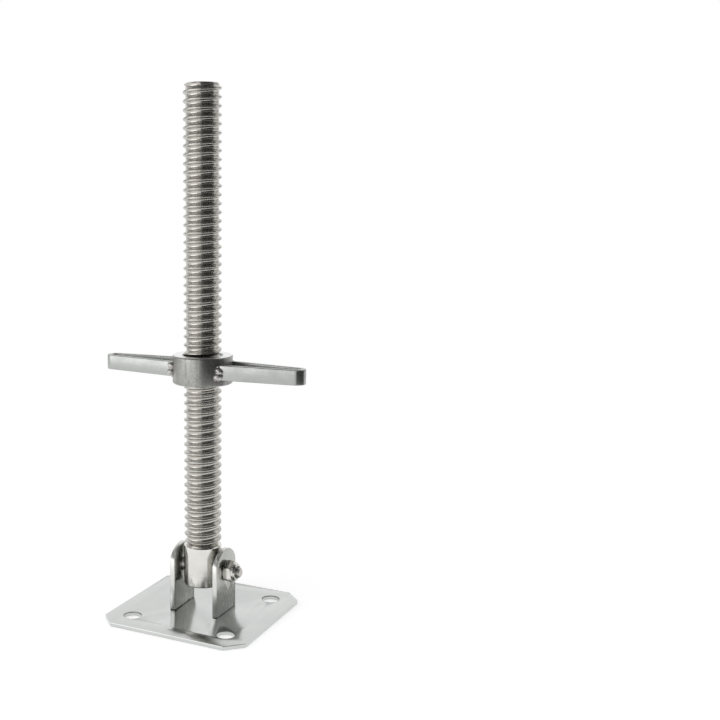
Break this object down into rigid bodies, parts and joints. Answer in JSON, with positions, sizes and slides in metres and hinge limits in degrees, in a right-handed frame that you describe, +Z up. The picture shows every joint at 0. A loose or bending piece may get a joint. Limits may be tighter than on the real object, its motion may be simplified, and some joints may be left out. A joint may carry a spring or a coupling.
{
  "type": "scaffold base jack",
  "caption": "Swivel base jack: a threaded spindle pinned between two ears on a square foot plate, with a thick round adjusting nut that has long loop handles.",
  "frame": {"origin": "centre of the foot plate's underside, on the spindle's axis", "axes": "+Z up along the spindle, +X along the cross bolt towards its nut, +Y along the width of the ears"},
  "size_m": [0.21, 0.15, 0.504],
  "materials": {
    "plate": "satin bright zinc plating",
    "fastener": "bright zinc plating",
    "nylon": "matte nylon",
    "spindle": "satin zinc plating over a rolled thread",
    "collar": "turned and zinc plated",
    "handle": "drawn flat bar, zinc plated",
    "weld": "plated weld bead"
  },
  "bodies": {
    "foot": {"base_plate": "plate", "lug_left": "plate", "lug_right": "plate", "pivot_bolt": "fastener", "lock_nut": "fastener", "lock_ring": "nylon"},
    "spindle": {"spindle": "spindle"},
    "collar": {"collar_nut": "collar"},
    "handles": {"handle_left": "handle", "handle_right": "handle", "handle_welds": "weld"}
  },
  "joints": [
    {"name": "spindle_swivel", "type": "hinge", "parent": "foot", "child": "spindle", "pos_m": [0, 0, 0.0457], "axis": [1, 0, 0], "range_deg": [-90, 90]},
    {"name": "collar_travel", "type": "slide", "parent": "spindle", "child": "collar", "axis": [0, 0, 1], "range_m": [-0.1521, 0.2401]},
    {"name": "handles_turn", "type": "hinge", "parent": "collar", "child": "handles", "pos_m": [0, 0, 0.2409], "axis": [0, 0, 1], "range_deg": [-6840, 10800]}
  ],
  "couplings": [
    {"joint": "collar_travel", "follows": "handles_turn", "m_per_rad": 0.0012732}
  ]
}
